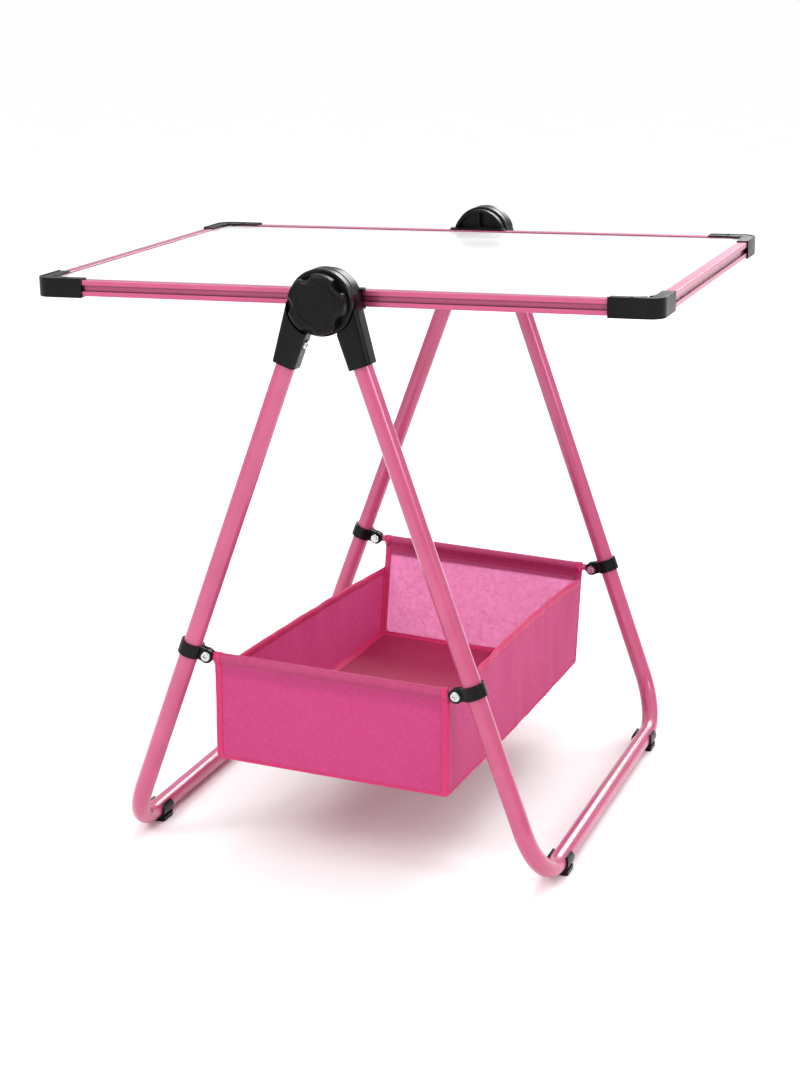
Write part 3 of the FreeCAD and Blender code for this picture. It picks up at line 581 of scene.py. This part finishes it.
# The far wall wears the painted-light copy of the cloth, and the base wears its painted-shade copy.
basket = cloth_piece("basket_cloth",
                     [near_net[:SEAM_ROW + 1], near_net[SEAM_ROW:], far_net[:SEAM_ROW + 1],
                      far_net[SEAM_ROW:], base_net, *side_nets.values()],
                     CLOTH_THICK, [sleeved, cloth, sleeved, far_wall_painted_light, base_painted_shade, cloth, cloth], 1)

# %% [markdown]
# ## Bind the seams
# Each seam of the real basket is folded over and stitched, so a band of doubled cloth stands a
# little proud on both faces. The bands are strips of the same nets, made thicker, which keeps them
# exactly on the cloth.

# %% Doubled bands
bands = []
for net in (near_net, far_net):
    bands += [net[2:, :2], net[2:, -2:], net[-2:]]
for net in side_nets.values():
    bands += [net[:2], net[-2:], net[:, :2], net[:, -2:]]
bands += [base_net[:3], base_net[-3:], base_net[:, :2], base_net[:, -2:]]
bound = cloth_piece("basket_binding", bands, BAND_THICK, [binding] * len(bands), 1)

# %% [markdown]
# ## Stitches
# A lock stitch shows as a row of short thread dashes about 3 mm long. One dash is modelled, then
# copied along the upright seams of the end walls, the sleeve seams and the side walls' top hems, on
# both faces of the cloth.

# %% One dash of thread
STITCH = 2.5 * MM
STITCH_PITCH = 3.4 * MM
DASH_SHAPE = (0.24, 0.2, 1.0)     # across, out of the cloth and along, of the dash's length
ON_CLOTH = 0.9 * MM               # from the middle of the cloth to the middle of the thread
ON_BAND = 1.05 * MM
bpy.ops.object.select_all(action="DESELECT")
bpy.ops.mesh.primitive_uv_sphere_add(segments=6, ring_count=4, radius=STITCH / 2)
dash = bpy.context.active_object
dash_points = np.array([v.co for v in dash.data.vertices]) * np.array(DASH_SHAPE)
dash_faces = [tuple(p.vertices) for p in dash.data.polygons]
bpy.data.objects.remove(dash)


def seam_line(line, inner):
    """Points a fifth of the way in from a band's edge, with the way across the band."""
    return line * 0.8 + inner * 0.2, inner - line


def sew(line, across_way, half):
    """Dashes along a line, on both faces, half a thickness from its middle."""
    gaps = np.linalg.norm(np.diff(line, axis=0), axis=1)
    run = np.concatenate([[0.0], np.cumsum(gaps)])
    for at in np.arange(STITCH_PITCH / 2, run[-1] - STITCH, STITCH_PITCH):
        a, b, way = (np.array([np.interp(v, run, arr[:, k]) for k in range(3)])
                     for v, arr in ((at, line), (at + STITCH, line), (at, across_way)))
        forward = (b - a) / np.linalg.norm(b - a)
        out = np.cross(forward, way)
        out /= np.linalg.norm(out)
        side = np.cross(out, forward)
        turn = np.array([side, out, forward])
        for face in (1, -1):
            start = len(sewn_points)
            sewn_points.extend(dash_points @ turn + (a + b) / 2 + out * half * face)
            sewn_faces.extend(tuple(start + v for v in f) for f in dash_faces)


sewn_points, sewn_faces = [], []
for net in (near_net, far_net):
    for edge, next_one in ((0, 1), (-1, -2)):
        sew(*seam_line(net[3:, next_one], net[3:, edge]), ON_BAND)
for net in (near_net, far_net):
    seam = net[SEAM_ROW, 1:-1]
    sew(seam, net[SEAM_ROW + 1, 1:-1] - seam, ON_CLOTH)
for net in side_nets.values():
    sew(*seam_line(net[1], net[0]), ON_BAND)
sewing = bpy.data.meshes.new("basket_stitches")
sewing.from_pydata([tuple(p) for p in sewn_points], [], sewn_faces)
sewing.materials.append(thread)
stitches = bpy.data.objects.new("basket_stitches", sewing)
bpy.context.scene.collection.objects.link(stitches)
print(len(sewn_points) // len(dash_points), "dashes of thread")

# %% Hang the basket on the stand
for piece in (basket, bound, stitches):
    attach(piece, "stand")
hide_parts(*[f"basket_{name}_panel" for name in ("near", "far", "left", "right", "base")])

# %% [markdown]
# ## Floor, light and camera
# A product table: a pale floor, a soft light above and to the left, a smaller one from the right,
# and one high behind that shines through the basket's far wall. The sky is brightest overhead and
# dimmer at the sides, so the floor is white while upright tubes keep darker edges.

# %% Floor
floor_finish = blank_finish("pale_floor")
place = node(floor_finish, "TexCoord").outputs["Object"]
paper = node(floor_finish, "TexNoise", {"Vector": place, "Scale": 1 / (300 * MM), "Detail": 2.0})
tone = node(floor_finish, "Mix", {0: paper.outputs[0], 6: linear("#F6F6F6"), 7: linear("#F9F9F9")},
            data_type="RGBA")
shader = node(floor_finish, "BsdfPrincipled", {"Base Color": tone.outputs[2], "Roughness": 0.7})
node(floor_finish, "OutputMaterial", {"Surface": shader.outputs[0]})
bpy.ops.object.select_all(action="DESELECT")
bpy.ops.mesh.primitive_circle_add(vertices=96, radius=45.0, fill_type="NGON")
floor = bpy.context.active_object
floor.name = "floor"
floor.data.materials.append(floor_finish)

# %% Lights
scene = bpy.context.scene
sky = bpy.data.worlds.new("studio")
sky.use_nodes = True
SKY_SIDE, SKY_TOP = 0.35, 1.45
direction = node(sky, "TexCoord").outputs["Generated"]
upward = node(sky, "SeparateXYZ", {0: direction}).outputs["Z"]
ramp = node(sky, "MapRange", {"Value": upward, "To Min": SKY_SIDE, "To Max": SKY_TOP})
background = sky.node_tree.nodes["Background"]
background.inputs["Color"].default_value = linear("#FFFFFF")
sky.node_tree.links.new(ramp.outputs[0], background.inputs["Strength"])
scene.world = sky


def soft_light(name, place, target, size, power):
    lamp = bpy.data.lights.new(name, "AREA")
    lamp.shape, lamp.size, lamp.energy = "SQUARE", size, power
    holder = bpy.data.objects.new(name, lamp)
    holder.location = place
    holder.rotation_euler = (Vector(target) - Vector(place)).to_track_quat("-Z", "Y").to_euler()
    scene.collection.objects.link(holder)


soft_light("key", (-1.5, -2.4, 2.4), (0, 0, 0.4), 1.2, 42)
soft_light("fill", (2.6, -1.2, 1.5), (0, 0, 0.4), 0.9, 22)
soft_light("back", (0.4, 3.2, 2.3), (0, 0.2, 0.2), 1.6, 75)

# %% Camera
FOCAL_LENGTH, SENSOR = 70.93, 36.0
CAMERA_PLACE = (0.81057, -2.3172, 0.99799)
CAMERA_TILT, CAMERA_TURN = 74.11, 19.605
lens = bpy.data.cameras.new("camera")
lens.lens, lens.sensor_width, lens.sensor_fit = FOCAL_LENGTH, SENSOR, "AUTO"
camera = bpy.data.objects.new("camera", lens)
camera.location = CAMERA_PLACE
camera.rotation_euler = (math.radians(CAMERA_TILT), 0.0, math.radians(CAMERA_TURN))
scene.collection.objects.link(camera)
scene.camera = camera
scene.view_settings.view_transform = "Standard"
